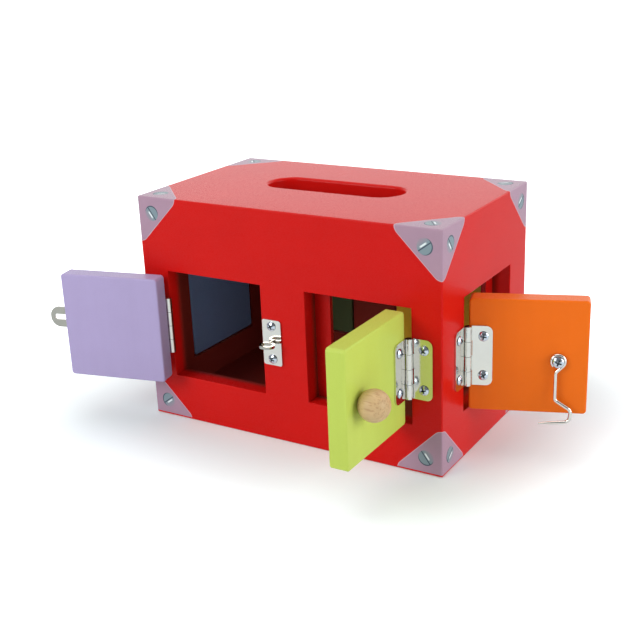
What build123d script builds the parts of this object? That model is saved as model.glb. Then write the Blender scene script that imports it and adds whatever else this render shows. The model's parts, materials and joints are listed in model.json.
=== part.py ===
"""A child's wooden lock box: six painted boards, six hinged doors and a different lock on each door.

Millimetres. X runs along the long front, Y to the back and Z up; the origin is the middle of the base.
Three doors stand open, as in the photograph, and three are closed. Every lock is open.
"""
import os
from math import asin, cos, radians, sin, tan

from build123d import *

# Case: six boards glued edge to face and painted as one
case_length = 240.0
case_width = 143.5
case_height = 169.5
board = 13.5
case_edge_round = 1.2

# Doorways: two in each long side, one in each end, in the wood that stands around them
doorway_height = 81.0
sill_height = 34.5
centre_stile = 36.0
corner_post = 22.0
end_stile = 31.75
end_doorway_shift = 2.0
doorway_edge_round = 0.6

# Grip slot through the top
slot_length = 109.0
slot_width = 33.0
slot_shift = 5.0
slot_rim_round = 2.2

# Doors
hinge_gap = 0.8
free_gap = 1.8
level_gap = 1.0
stop_clearance = 0.3
door_corner_round = 2.5
door_edge_round = 1.2
purple_off_wall_angle = 13.0
green_open_angle = 90.0
orange_open_angle = 70.5

# Butt hinges, one to a door
leaf_height = 42.0
leaf_width = 16.0
leaf_thickness = 1.2
leaf_corner_round = 4.2
barrel_radius = 2.5
barrel_lift = 0.1
barrel_relief = 0.3
pin_radius = 1.25
knuckles = 4
knuckle_gap = 0.25
hinge_screw_inset = 10.0
hinge_screw_spacing = 27.6

# Screws
head_radius = 3.4
head_height = 1.8
head_edge = 0.5
shank_radius = 1.5
shank_length = 11.0
point_length = 3.0

# Fits
running = 0.06
fixed_fit = 0.02
slide_clearance = 0.15
face_clearance = 0.3
overrun = 1.0

# Stops behind the two doors whose locks don't lap over the wall
stop_reach = 12.0
stop_middle_gap = 4.0
stop_corner_gap = 2.25
stop_thickness = 4.0
stop_overlap = 9.5
stop_edge_round = 0.8

# Turning knob with a latch bar inside
knob_inset = 17.4
knob_radius = 10.3
knob_seat = 9.2
knob_socket = 11.0
spindle_radius = 2.5
collar_radius = 4.5
latch_bar_thickness = 3.0
latch_bar_width = 8.0
latch_bar_reach = 16.0

# Hook and eye
hook_inset = 19.2
hook_drop = 1.9
hook_wire_radius = 1.2
hook_eye_radius = 4.3
hook_eye_gap_angle = 90.0
hook_shank_offset = 1.5
hook_shank_end = 26.5
hook_bend_out = 9.2
hook_bend_top = 33.4
hook_bend_in = 8.2
hook_bend_bottom = 41.4
hook_tip_reach = 11.7
hook_tip_drop = 43.2
hook_tip_length = 8.0
hook_tip_radius = 0.5
hook_shank_bend = 3.0
hook_end_bend = 4.0
hook_lean_angle = 5.0
hook_standoff = 0.5
hook_head_radius = 3.7
eye_ring_radius = 4.7
eye_wire_radius = 1.1
eye_shank_length = 9.0

# Hasp, its swivel staple and the staple's plate
staple_inset = 8.8
plate_width = 15.0
plate_height = 33.5
plate_thickness = 1.2
plate_corner_round = 1.6
plate_screw_spacing = 24.2
loop_width = 11.6
loop_height = 9.4
loop_wire = 1.8
loop_thickness = 2.0
loop_corner_round = 4.5
stem_radius = 1.7
rivet_radius = 1.3
rivet_head_radius = 3.0
rivet_head_height = 0.8
rivet_recess_radius = 3.6
rivet_recess_depth = 1.6
strap_height = 16.0
strap_thickness = 1.2
strap_tip_reach = 11.0
strap_tip_round = 7.5
strap_slot_length = 15.2
strap_slot_width = 4.4
hasp_barrel_radius = 2.0
hasp_barrel_lift = 0.2
hasp_pin_radius = 0.9
hasp_axis_inset = 9.0
hasp_leaf_length = 22.0
hasp_knuckle_height = 6.0
hasp_screw_insets = (7.5, 16.5)

# Barrel bolt and keeper
bolt_rod_radius = 2.5
bolt_plate_thickness = 1.0
bolt_plate_width = 23.0
bolt_plate_length = 33.0
bolt_plate_inset = 0.8
bolt_guide_length = 5.0
bolt_guide_wall = 1.2
bolt_guide_inset = 2.0
bolt_handle_radius = 2.2
bolt_handle_height = 8.0
bolt_handle_inset = 10.0
bolt_handle_round = 1.1
bolt_tail_inset = 1.0
bolt_nose_inset = 0.4
bolt_nose_chamfer = 0.6
bolt_screw_spacing = 15.2
keeper_inset = 4.9
keeper_length = 7.5
plate_edge_round = 1.5

# Turn button
button_inset = 9.0
button_raise = 18.0
button_length = 34.0
button_width = 12.0
button_thickness = 6.0
button_edge_round = 1.2
button_bite = 10.0

# Swing bar and its cradle
bar_inset = 19.8
bar_drop = 12.0
bar_length = 44.0
bar_width = 10.0
bar_thickness = 2.0
cradle_inset = 7.9
cradle_width = 9.0
cradle_thickness = 1.2
cradle_base_height = 14.0
cradle_lip = 6.5
cradle_screw_drop = 8.0
bar_bite = 9.0

# Sizes that follow from those above
half_length = case_length / 2
half_width = case_width / 2
inner_half_length = half_length - board
inner_half_width = half_width - board
door_mid_height = sill_height + doorway_height / 2
front_doorway = half_length - centre_stile / 2 - corner_post
end_doorway = case_width - 2 * end_stile
door_height = doorway_height - 2 * level_gap
door_thickness = board - stop_clearance
axis_out = barrel_radius + barrel_lift
door_start = hinge_gap / 2
front_axis = centre_stile / 2 + front_doorway - hinge_gap / 2
end_axis = end_doorway / 2 - hinge_gap / 2
knuckle_pitch = leaf_height / knuckles


def span(x0, x1, y0, y1, z0, z1):
    """A box between three pairs of limits."""
    low = (min(x0, x1), min(y0, y1), min(z0, z1))
    return Pos(*low) * Box(abs(x1 - x0), abs(y1 - y0), abs(z1 - z0), align=(Align.MIN,) * 3)


def outward(level):
    """A place on a door's or wall's own Y axis, by its height above the outer face."""
    return level - axis_out


def round_along_y(shape, radius, pick=None):
    """Round the edges that run along Y, or those of them that pick chooses."""
    edges = shape.edges().filter_by(Axis.Y)
    return fillet(edges.filter_by(pick) if pick else edges, radius)


def peg(radius, y0, y1, x=0, z=0):
    """A round bar along Y between two levels."""
    bar = Cylinder(radius, abs(y1 - y0), align=(Align.CENTER, Align.CENTER, Align.MIN))
    return Pos(x, min(y0, y1), z) * Rot(X=-90) * bar


def pan_screw(head=head_radius, length=shank_length, shank=shank_radius):
    """A pan-head wood screw along Y, its head's underside at zero and its point at -length."""
    side = Polyline(
        (0, -length), (shank, point_length - length), (shank, 0), (head, 0), (head, head_edge)
    )
    rise = head_height - head_edge
    crown_radius = (head**2 + rise**2) / (2 * rise)
    half_turn = asin(head / crown_radius) / 2
    shoulder = (crown_radius * sin(half_turn), head_height - crown_radius * (1 - cos(half_turn)))
    crown = ThreePointArc((head, head_edge), shoulder, (0, head_height))
    axis = Line((0, head_height), (0, -length))
    return revolve(make_face(side + crown + axis), Axis.Y)


def pilot(length=shank_length, shank=shank_radius):
    """The hole that a screw fills, from its head's underside down."""
    return peg(shank + fixed_fit, -length, overrun)


class Door:
    """A door's own frame: X from the hinge axis to the free edge, Y outwards, Z along the hinge pin.

    The wall's outer face lies at -axis_out. Turning about +Z opens the door.
    """

    def __init__(self, name, doorway, x, y, along, hand, angle=0.0):
        self.name = name
        self.hand = hand
        self.doorway_end = doorway - hinge_gap / 2
        self.end = self.doorway_end - free_gap
        frame = Plane(origin=(x, y, door_mid_height), x_dir=along + (0,), z_dir=(0, 0, hand))
        self.wall = frame.location
        self.panel = self.wall * Rot(Z=angle)
        self.panel_cuts = []
        self.wall_cuts = []


axis_x, axis_y = half_length + axis_out, half_width + axis_out
right_axis, left_axis = end_doorway_shift - end_axis, end_doorway_shift + end_axis
purple = Door("purple", front_doorway, -front_axis, -axis_y, (1, 0), -1, 180 - purple_off_wall_angle)
green = Door("green", front_doorway, front_axis, -axis_y, (-1, 0), 1, green_open_angle)
orange = Door("orange", end_doorway, axis_x, right_axis, (0, 1), -1, orange_open_angle)
blue = Door("blue", end_doorway, -axis_x, left_axis, (0, -1), -1)
yellow = Door("yellow", front_doorway, front_axis, axis_y, (-1, 0), -1)
teal = Door("teal", front_doorway, -front_axis, axis_y, (1, 0), 1)
doors = (purple, green, orange, blue, yellow, teal)
parts = {}


def fix_screws(node, frame, places, level, cuts, head=head_radius, length=shank_length):
    """Screws in one node, at (x, z) places on a frame, with their pilot holes added to cuts."""
    group = []
    for x, z in places:
        seat = Pos(x, outward(level), z)
        group.append(frame * seat * pan_screw(head, length))
        cuts.append(seat * pilot(length))
    parts[node] = group


# Hinges
def hinge_leaf(own_knuckles, bore):
    """A leaf on the +X side of the pin, with the knuckles that are its own."""
    plate_start = barrel_radius + barrel_relief
    low, high = outward(0), outward(leaf_thickness)
    leaf = span(plate_start, leaf_width, low, high, -leaf_height / 2, leaf_height / 2)
    leaf = round_along_y(leaf, leaf_corner_round, lambda e: e.center().X > leaf_width / 2)
    for k in own_knuckles:
        z0 = k * knuckle_pitch - leaf_height / 2 + knuckle_gap / 2
        z1 = z0 + knuckle_pitch - knuckle_gap
        tube = Pos(0, 0, (z0 + z1) / 2) * Cylinder(barrel_radius, z1 - z0)
        leaf += tube + span(0, plate_start, low, high, z0, z1)
    leaf -= Cylinder(bore, leaf_height + overrun)
    for z in (-hinge_screw_spacing / 2, hinge_screw_spacing / 2):
        leaf -= peg(shank_radius + slide_clearance, low - overrun, high + overrun, hinge_screw_inset, z)
    return leaf


def hinge_screw_places(side):
    return [(side * hinge_screw_inset, s * hinge_screw_spacing / 2) for s in (1, -1)]


pins = []
wall_screws = []
for door in doors:
    # The top knuckle belongs to the door's leaf
    top_down = range(knuckles) if door.hand < 0 else range(knuckles - 1, -1, -1)
    order = list(top_down)
    door_leaf = hinge_leaf(order[0::2], pin_radius + running)
    wall_leaf = mirror(hinge_leaf(order[1::2], pin_radius + fixed_fit), about=Plane.YZ)
    parts[f"{door.name}_door_leaf"] = door.panel * door_leaf
    parts[f"{door.name}_wall_leaf"] = door.wall * wall_leaf
    pins.append(door.wall * Cylinder(pin_radius, leaf_height))
    fix_screws(f"{door.name}_leaf_screws", door.panel, hinge_screw_places(1), leaf_thickness, door.panel_cuts)
    fix_screws("wall_leaf_screws", door.wall, hinge_screw_places(-1), leaf_thickness, door.wall_cuts)
    wall_screws += parts["wall_leaf_screws"]
parts["hinge_pins"] = pins
parts["wall_leaf_screws"] = wall_screws


# Stops: thin laths glued behind the wall, on the free side of the doorway
def door_stop(door, fixing):
    """A lath that reaches into the doorway and over the wall beside it by its fixing."""
    back = outward(-board)
    half_height = doorway_height / 2 + stop_overlap
    lath = span(
        door.doorway_end - stop_reach, door.doorway_end + fixing,
        back - stop_thickness, back, -half_height, half_height,
    )
    lath = fillet(lath.edges().filter_by(Axis.Z).group_by(Axis.Y)[0], stop_edge_round)
    return door.wall * lath


parts["green_door_stop"] = door_stop(green, centre_stile / 2 - stop_middle_gap)
parts["orange_door_stop"] = door_stop(orange, end_stile - end_doorway_shift - board - stop_corner_gap)

# Green door: a ball knob turns a latch bar that bites behind the stop
knob_at = Pos(green.end - knob_inset, outward(0), 0)
inner_face = -door_thickness
bar_level = -board - stop_thickness - face_clearance
knob = Pos(0, knob_seat + face_clearance, 0) * Sphere(knob_radius)
knob -= span(-knob_radius, knob_radius, face_clearance, -knob_radius, -knob_radius, knob_radius)
knob -= peg(spindle_radius + fixed_fit, -overrun, knob_socket)
spindle = peg(spindle_radius, bar_level - latch_bar_thickness, knob_socket)
spindle += peg(collar_radius, bar_level, inner_face - face_clearance)
latch_bar = extrude(
    Plane.XZ * Pos(0, -latch_bar_reach / 2) * SlotOverall(
        latch_bar_reach + latch_bar_width, latch_bar_width, rotation=90
    ),
    latch_bar_thickness,
)
latch_bar = Pos(0, bar_level, 0) * latch_bar
latch_bar -= peg(spindle_radius + fixed_fit, bar_level - latch_bar_thickness - overrun, bar_level + overrun)
green.panel_cuts.append(knob_at * peg(spindle_radius + running, inner_face - overrun, overrun))
for node, shape in (("door_knob", knob), ("knob_spindle", spindle), ("knob_latch_bar", latch_bar)):
    parts[node] = green.panel * knob_at * shape

# Orange door: a wire hook on a screw, and its screw eye in the end wall
hook_up = orange.hand
hook_x = orange.end - hook_inset
hook_z = -hook_up * hook_drop
half_gap = hook_eye_gap_angle / 2
eye_side = hook_eye_radius * sin(radians(half_gap))
eye_foot = hook_eye_radius * cos(radians(half_gap))
neck_drop = eye_foot + (eye_side + hook_shank_offset) * tan(radians(half_gap))
hook_eye_arc = CenterArc((0, 0), hook_eye_radius, 270 - half_gap, hook_eye_gap_angle - 360)
tip_end = Vector(-hook_tip_reach, -hook_tip_drop)
bend_end = Vector(hook_bend_in, -hook_bend_bottom)
tip_start = tip_end + (bend_end - tip_end).normalized() * hook_tip_length
hook_line = FilletPolyline(
    (eye_side, -eye_foot), (-hook_shank_offset, -neck_drop),
    (-hook_shank_offset, -hook_shank_end), (hook_bend_out, -hook_bend_top),
    bend_end, tip_start,
    radius=[hook_shank_bend, hook_shank_bend, hook_end_bend, hook_end_bend],
)
hook_path = Wire([hook_eye_arc] + hook_line.edges())
hook = sweep((hook_path ^ 0) * Circle(hook_wire_radius), path=hook_path)
hook += (hook_path ^ 1) * Cone(
    hook_wire_radius, hook_tip_radius, hook_tip_length, align=(Align.CENTER, Align.CENTER, Align.MIN)
)
hook_height = hook_standoff + hook_wire_radius
hook_frame = Plane(origin=(hook_x, outward(hook_height), hook_z), x_dir=(1, 0, 0), z_dir=(0, 1, 0))
parts["wire_hook"] = orange.panel * hook_frame.location * Rot(X=-hook_lean_angle) * hook
hook_rise = (hook_eye_radius + hook_wire_radius) * tan(radians(hook_lean_angle))
hook_head_level = hook_height + hook_wire_radius + hook_rise
fix_screws(
    "hook_screw", orange.panel, [(hook_x, hook_z)], hook_head_level, orange.panel_cuts,
    hook_head_radius, shank_length + hook_head_level,
)
# The latched hook's point stands where its bend hung
eye_x = hook_x + (hook_bend_bottom + hook_tip_drop) / 2
eye_level = eye_ring_radius + eye_wire_radius + face_clearance
eye_at = Pos(eye_x, outward(0), hook_z)
ring = Pos(0, eye_level, 0) * Torus(eye_ring_radius, eye_wire_radius)
stalk = peg(eye_wire_radius, -eye_shank_length, eye_level - eye_ring_radius)
parts["hook_eye"] = orange.wall * eye_at * (ring + stalk)
orange.wall_cuts.append(eye_at * peg(eye_wire_radius + fixed_fit, -eye_shank_length, overrun))

# Purple door: hasp strap over a swivel staple
staple_x = purple.doorway_end + staple_inset
staple_at = Pos(staple_x, outward(0), 0)
hasp_level = hasp_barrel_radius + hasp_barrel_lift
strap_low, strap_high = hasp_level - strap_thickness / 2, hasp_level + strap_thickness / 2
loop_lift = strap_high + face_clearance
plate = span(-plate_width / 2, plate_width / 2, 0, plate_thickness, -plate_height / 2, plate_height / 2)
plate = round_along_y(plate, plate_corner_round)
plate -= peg(rivet_radius + running, -overrun, plate_thickness + overrun)
for z in (-plate_screw_spacing / 2, plate_screw_spacing / 2):
    plate -= peg(shank_radius + slide_clearance, -overrun, plate_thickness + overrun, 0, z)
parts["staple_plate"] = purple.wall * staple_at * plate
plate_screw_places = [(staple_x, s * plate_screw_spacing / 2) for s in (1, -1)]
fix_screws("staple_plate_screws", purple.wall, plate_screw_places, plate_thickness, purple.wall_cuts)

loop = RectangleRounded(loop_width, loop_height, loop_corner_round)
hole_width, hole_height = loop_width - 2 * loop_wire, loop_height - 2 * loop_wire
loop -= RectangleRounded(hole_width, hole_height, loop_corner_round - loop_wire)
staple = Pos(0, loop_lift + loop_height / 2, -loop_thickness / 2) * extrude(loop, loop_thickness)
staple += peg(stem_radius, plate_thickness + running, loop_lift + loop_wire / 2)
staple += peg(rivet_radius, -rivet_head_height - running, plate_thickness + running)
staple += peg(rivet_head_radius, -rivet_head_height - running, -running)
parts["swivel_staple"] = purple.wall * staple_at * staple
purple.wall_cuts.append(staple_at * peg(rivet_recess_radius, -rivet_recess_depth, overrun))

hasp_x = purple.end - hasp_axis_inset
hasp_relief = hasp_barrel_radius + barrel_relief
hasp_at = Pos(hasp_x, outward(0), 0)
side_knuckle = (strap_height - hasp_knuckle_height) / 2 - knuckle_gap
hasp_leaf = span(-hasp_leaf_length, -hasp_relief, 0, strap_thickness, -strap_height / 2, strap_height / 2)
hasp_leaf = round_along_y(hasp_leaf, leaf_corner_round, lambda e: e.center().X < -hasp_leaf_length / 2)
for sign in (1, -1):
    z0, z1 = sign * (strap_height / 2 - side_knuckle), sign * strap_height / 2
    tube = Pos(0, hasp_level, (z0 + z1) / 2) * Cylinder(hasp_barrel_radius, side_knuckle)
    hasp_leaf += tube + span(-hasp_relief, 0, 0, strap_thickness, z0, z1)
hasp_bore = Pos(0, hasp_level, 0) * Cylinder(hasp_pin_radius + fixed_fit, strap_height + overrun)
hasp_leaf -= hasp_bore
for inset in hasp_screw_insets:
    hasp_leaf -= peg(shank_radius + slide_clearance, -overrun, strap_thickness + overrun, -inset)
parts["hasp_leaf"] = purple.panel * hasp_at * hasp_leaf
hasp_screw_places = [(hasp_x - inset, 0) for inset in hasp_screw_insets]
fix_screws("hasp_leaf_screws", purple.panel, hasp_screw_places, strap_thickness, purple.panel_cuts)
hasp_pin = Pos(0, hasp_level, 0) * Cylinder(hasp_pin_radius, strap_height)
parts["hasp_pin"] = purple.panel * hasp_at * hasp_pin

strap_tip = staple_x + strap_tip_reach - hasp_x
strap = span(hasp_relief, strap_tip, strap_low, strap_high, -strap_height / 2, strap_height / 2)
strap = round_along_y(strap, strap_tip_round, lambda e: e.center().X > strap_tip / 2)
strap += span(0, hasp_relief, strap_low, strap_high, -hasp_knuckle_height / 2, hasp_knuckle_height / 2)
strap += Pos(0, hasp_level, 0) * Cylinder(hasp_barrel_radius, hasp_knuckle_height)
strap -= Pos(0, hasp_level, 0) * Cylinder(hasp_pin_radius + running, strap_height + overrun)
strap_slot = extrude(SlotOverall(strap_slot_length, strap_slot_width), strap_thickness + overrun, both=True)
strap -= Pos(staple_x - hasp_x, hasp_level, 0) * Rot(X=90) * strap_slot
parts["hasp_strap"] = purple.panel * hasp_at * strap

# Blue door: barrel bolt, and a keeper on the wall
rod_level = bolt_plate_thickness + slide_clearance + bolt_rod_radius
guide_bore = bolt_rod_radius + slide_clearance
guide_radius = guide_bore + bolt_guide_wall


def guide_loop(start, length):
    """An arch pressed over the rod, standing on its plate."""
    arch = Pos(start + length / 2, rod_level, 0) * Rot(Y=90) * Cylinder(guide_radius, length)
    arch += span(start, start + length, 0, rod_level, -guide_radius, guide_radius)
    return arch - span(start, start + length, 0, -guide_radius, -guide_radius, guide_radius)


def bolt_plate(start, length, guides, screw_places):
    """A plate with its guide loops, bored for the rod and drilled for its screws."""
    half = bolt_plate_width / 2
    base = round_along_y(span(start, start + length, 0, bolt_plate_thickness, -half, half), plate_edge_round)
    for at in guides:
        base += guide_loop(at, bolt_guide_length)
    base -= Pos(start + length / 2, rod_level, 0) * Rot(Y=90) * Cylinder(guide_bore, length + 2 * overrun)
    for x, z in screw_places:
        base -= peg(shank_radius + slide_clearance, -overrun, bolt_plate_thickness + overrun, x, z)
    return base


plate_end = blue.end - bolt_plate_inset
plate_start = plate_end - bolt_plate_length
keeper_x = blue.doorway_end + keeper_inset
near_guide = plate_start + bolt_guide_inset
far_guide = plate_end - bolt_guide_inset - bolt_guide_length
bolt_screw_places = [
    (guide + bolt_guide_length / 2, s * bolt_screw_spacing / 2)
    for guide in (near_guide, far_guide) for s in (1, -1)
]
keeper_screw_places = [(keeper_x, s * bolt_screw_spacing / 2) for s in (1, -1)]
housing = bolt_plate(plate_start, bolt_plate_length, (near_guide, far_guide), bolt_screw_places)
keeper = bolt_plate(
    keeper_x - keeper_length / 2, keeper_length, (keeper_x - bolt_guide_length / 2,), keeper_screw_places
)
parts["bolt_housing"] = blue.panel * Pos(0, outward(0), 0) * housing
parts["bolt_keeper"] = blue.wall * Pos(0, outward(0), 0) * keeper
fix_screws("bolt_housing_screws", blue.panel, bolt_screw_places, bolt_plate_thickness, blue.panel_cuts)
fix_screws("bolt_keeper_screws", blue.wall, keeper_screw_places, bolt_plate_thickness, blue.wall_cuts)
rod_start, rod_end = plate_start + bolt_tail_inset, blue.end - bolt_nose_inset
rod = Cylinder(bolt_rod_radius, rod_end - rod_start, align=(Align.CENTER, Align.CENTER, Align.MIN))
rod = Rot(Y=90) * rod
rod = chamfer(rod.edges().group_by(Axis.X)[-1], bolt_nose_chamfer)
rod = Pos(rod_start, rod_level, 0) * rod
handle_top = rod_level + bolt_rod_radius + bolt_handle_height
handle = peg(bolt_handle_radius, rod_level, handle_top, plate_start + bolt_handle_inset)
handle = fillet(handle.edges().group_by(Axis.Y)[-1], bolt_handle_round)
parts["slide_bolt"] = blue.panel * Pos(0, outward(0), 0) * (rod + handle)

# Yellow door: a wooden turn button on the wall
button_x, button_z = yellow.doorway_end + button_inset, yellow.hand * button_raise
button_at = Pos(button_x, outward(face_clearance), button_z)
button = extrude(Plane.XZ * SlotOverall(button_length, button_width, rotation=90), -button_thickness)
button = fillet(button.edges().group_by(Axis.Y)[-1], button_edge_round)
button -= peg(shank_radius + slide_clearance, -overrun, button_thickness + overrun)
parts["turn_button"] = yellow.wall * button_at * button
button_head = 2 * face_clearance + button_thickness
fix_screws(
    "turn_button_screw", yellow.wall, [(button_x, button_z)], button_head,
    yellow.wall_cuts, head_radius, button_head + button_bite,
)

# Teal door: a swing bar that drops into a cradle on the wall
bar_x, bar_z = teal.end - bar_inset, -teal.hand * bar_drop
bar = extrude(
    Plane.XZ * Pos(0, bar_length / 2 - bar_width / 2) * SlotOverall(bar_length, bar_width, rotation=90),
    -bar_thickness,
)
bar -= peg(shank_radius + slide_clearance, -overrun, bar_thickness + overrun)
parts["swing_bar"] = teal.panel * Pos(bar_x, outward(face_clearance), bar_z) * bar
bar_head = 2 * face_clearance + bar_thickness
fix_screws(
    "swing_bar_screw", teal.panel, [(bar_x, bar_z)], bar_head,
    teal.panel_cuts, head_radius, bar_head + bar_bite,
)
shelf = bar_z - bar_width / 2 - face_clearance
lip_level = bar_head
lip_face = lip_level + cradle_thickness
cradle_side = Polyline(
    (0, shelf - cradle_thickness), (0, shelf - cradle_base_height),
    (cradle_thickness, shelf - cradle_base_height), (cradle_thickness, shelf - cradle_thickness),
    (lip_face, shelf - cradle_thickness), (lip_face, shelf + cradle_lip),
    (lip_level, shelf + cradle_lip), (lip_level, shelf), (0, shelf), close=True,
)
cradle = extrude(Plane.YZ * make_face(cradle_side), cradle_width / 2, both=True)
cradle_x, cradle_screw_z = teal.doorway_end + cradle_inset, shelf - cradle_screw_drop
cradle -= peg(shank_radius + slide_clearance, -overrun, cradle_thickness + overrun, 0, cradle_screw_z)
parts["bar_cradle"] = teal.wall * Pos(cradle_x, outward(0), 0) * cradle
fix_screws("bar_cradle_screw", teal.wall, [(cradle_x, cradle_screw_z)], cradle_thickness, teal.wall_cuts)

# Door panels
for door in doors:
    back, face, half_height = outward(-door_thickness), outward(0), door_height / 2
    panel = span(door_start, door.end, back, face, -half_height, half_height)
    panel = round_along_y(panel, door_corner_round)
    faces = panel.faces().filter_by(Axis.Y)
    panel = fillet(faces.edges(), door_edge_round)
    for cut in door.panel_cuts:
        panel -= cut
    parts[f"{door.name}_door_panel"] = door.panel * panel

# Case boards, cut from one rounded block
block = Pos(0, 0, case_height / 2) * Box(case_length, case_width, case_height)
block = fillet(block.edges(), case_edge_round)
low, high = board, case_height - board


def case_board(x0, x1, y0, y1, z0, z1, board_doors=(), neighbour_doors=()):
    """One board of the block, with its doorways and the holes for what is screwed to it.

    A neighbour door has its doorway in the next board, and fittings that may reach into this one.
    """
    wood = block & span(x0, x1, y0, y1, z0, z1)
    for door in board_doors:
        doorway = span(
            door_start - hinge_gap, door.doorway_end, outward(overrun), outward(-board - overrun),
            -doorway_height / 2, doorway_height / 2,
        )
        wood -= door.wall * doorway
        rim = door.wall * span(
            door_start - hinge_gap - overrun, door.doorway_end + overrun, outward(overrun), outward(-overrun),
            -doorway_height / 2 - overrun, doorway_height / 2 + overrun,
        )
        limits = rim.bounding_box()
        wood = fillet(
            [e for e in wood.edges() if limits.is_inside(e.bounding_box())], doorway_edge_round
        )
    for door in board_doors + neighbour_doors:
        for cut in door.wall_cuts:
            wood -= door.wall * cut
    return wood


top = case_board(-half_length, half_length, -half_width, half_width, high, case_height)
slot = extrude(SlotOverall(slot_length, slot_width), board + 2 * overrun)
top -= Pos(0, slot_shift, high - overrun) * slot
rim_zone = slot_width / 2 + overrun
slot_rim = [
    e for e in top.edges().group_by(Axis.Z)[-1]
    if abs(e.center().Y - slot_shift) < rim_zone and abs(e.center().X) < half_length - 2 * board
]
parts["top_board"] = fillet(slot_rim, slot_rim_round)
parts["bottom_board"] = case_board(-half_length, half_length, -half_width, half_width, 0, low)
parts["front_board"] = case_board(
    -half_length, half_length, -half_width, -inner_half_width, low, high, (purple, green), (orange, blue)
)
parts["back_board"] = case_board(
    -half_length, half_length, inner_half_width, half_width, low, high, (yellow, teal), (orange, blue)
)
parts["left_board"] = case_board(
    -half_length, -inner_half_length, -inner_half_width, inner_half_width, low, high, (blue,)
)
parts["right_board"] = case_board(
    inner_half_length, half_length, -inner_half_width, inner_half_width, low, high, (orange,)
)

os.makedirs("parts", exist_ok=True)
for node, shape in parts.items():
    solids = shape if isinstance(shape, list) else [shape]
    solids = [solid for piece in solids for solid in piece.solids()]
    export_step(solids[0] if len(solids) == 1 else Compound(children=solids), f"parts/{node}.step")
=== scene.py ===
"""Looks for a child's wooden lock box: painted case, doors, plated fittings, screws, stage and camera.

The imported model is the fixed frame, in metres: X along the front, Y to the back, Z up.
"""
import json
import math

import bmesh
import bpy
from bpy.props import FloatProperty, FloatVectorProperty, PointerProperty
from mathutils import Matrix, Vector


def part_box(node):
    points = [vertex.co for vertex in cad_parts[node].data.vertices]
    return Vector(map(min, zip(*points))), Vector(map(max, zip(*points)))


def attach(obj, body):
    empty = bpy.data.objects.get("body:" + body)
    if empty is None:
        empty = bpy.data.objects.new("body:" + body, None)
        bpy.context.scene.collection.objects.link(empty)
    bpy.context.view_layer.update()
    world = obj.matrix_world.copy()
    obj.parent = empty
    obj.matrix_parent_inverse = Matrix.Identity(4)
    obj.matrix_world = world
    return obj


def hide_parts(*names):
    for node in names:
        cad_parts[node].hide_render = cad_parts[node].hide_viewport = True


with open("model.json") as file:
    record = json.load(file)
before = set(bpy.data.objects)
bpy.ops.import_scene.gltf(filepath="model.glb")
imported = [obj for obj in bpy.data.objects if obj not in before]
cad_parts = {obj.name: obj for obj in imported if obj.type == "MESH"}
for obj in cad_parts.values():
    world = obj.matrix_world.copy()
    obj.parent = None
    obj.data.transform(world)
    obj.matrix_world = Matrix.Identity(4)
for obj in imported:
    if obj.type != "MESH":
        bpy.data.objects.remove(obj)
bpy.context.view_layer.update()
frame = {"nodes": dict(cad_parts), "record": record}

bl_info = {
    "name": "Lock Box",
    "version": (1, 0, 0),
    "blender": (4, 5, 0),
    "location": "View3D > Sidebar > Lock Box",
    "description": "Paints and dresses a wooden lock box on its CAD frame",
    "category": "Object",
}

MM = 0.001
SENSOR_WIDTH = 36.0

# Points closer than these are one point: after a cut, and in a CAD mesh
SEAM = 0.005 * MM
TOUCH = 0.01 * MM

# Half the width over which a printed edge fades
PRINT_EDGE = 0.12 * MM

# Faces that meet at more than this stay sharp
ACROSS_FACES = math.radians(40)

# Grain runs along the axis with the smallest number
PAINT_GRAIN_X = (0.08, 1, 1)
PAINT_GRAIN_Z = (1, 1, 0.08)
BEECH_GRAIN_X = (0.05, 1, 1)
BEECH_GRAIN_Z = (1, 1, 0.05)
ROLLING_MARKS_Z = (1, 1, 0.06)

DOORS = ("purple", "green", "orange", "blue", "yellow", "teal")
BOARDS = ("top_board", "bottom_board", "front_board", "back_board", "left_board", "right_board")
STOPS = ("green_door_stop", "orange_door_stop")
PLATED = (
    "hinge_pins", "staple_plate", "hasp_leaf", "hasp_pin", "wire_hook", "hook_eye", "bolt_housing",
    "bolt_keeper", "slide_bolt", "swing_bar", "bar_cradle", "knob_spindle", "knob_latch_bar",
)
DULL = ("swivel_staple", "hasp_strap")


def paint_chip(red, green, blue):
    """A colour as it looks on screen, 0 to 255, as the linear colour that a shader takes."""
    def linear(value):
        value /= 255
        return value / 12.92 if value <= 0.04045 else ((value + 0.055) / 1.055) ** 2.4
    return (linear(red), linear(green), linear(blue))


def colour_prop(name, description, chip):
    """A colour that a user can change."""
    return FloatVectorProperty(
        name=name, description=description, subtype="COLOR", size=3, min=0, max=1, default=paint_chip(*chip)
    )


def length_prop(name, description, millimetres):
    """A length that a user can change."""
    return FloatProperty(
        name=name, description=description, default=millimetres * MM, min=0, unit="LENGTH"
    )


def angle_prop(name, description, radians):
    """An angle that a user can change."""
    return FloatProperty(name=name, description=description, default=radians, subtype="ANGLE")


def amount_prop(name, description, amount, unit="NONE"):
    """A number that a user can change."""
    return FloatProperty(name=name, description=description, default=amount, min=0, unit=unit)


# Sizes and colours

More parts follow.
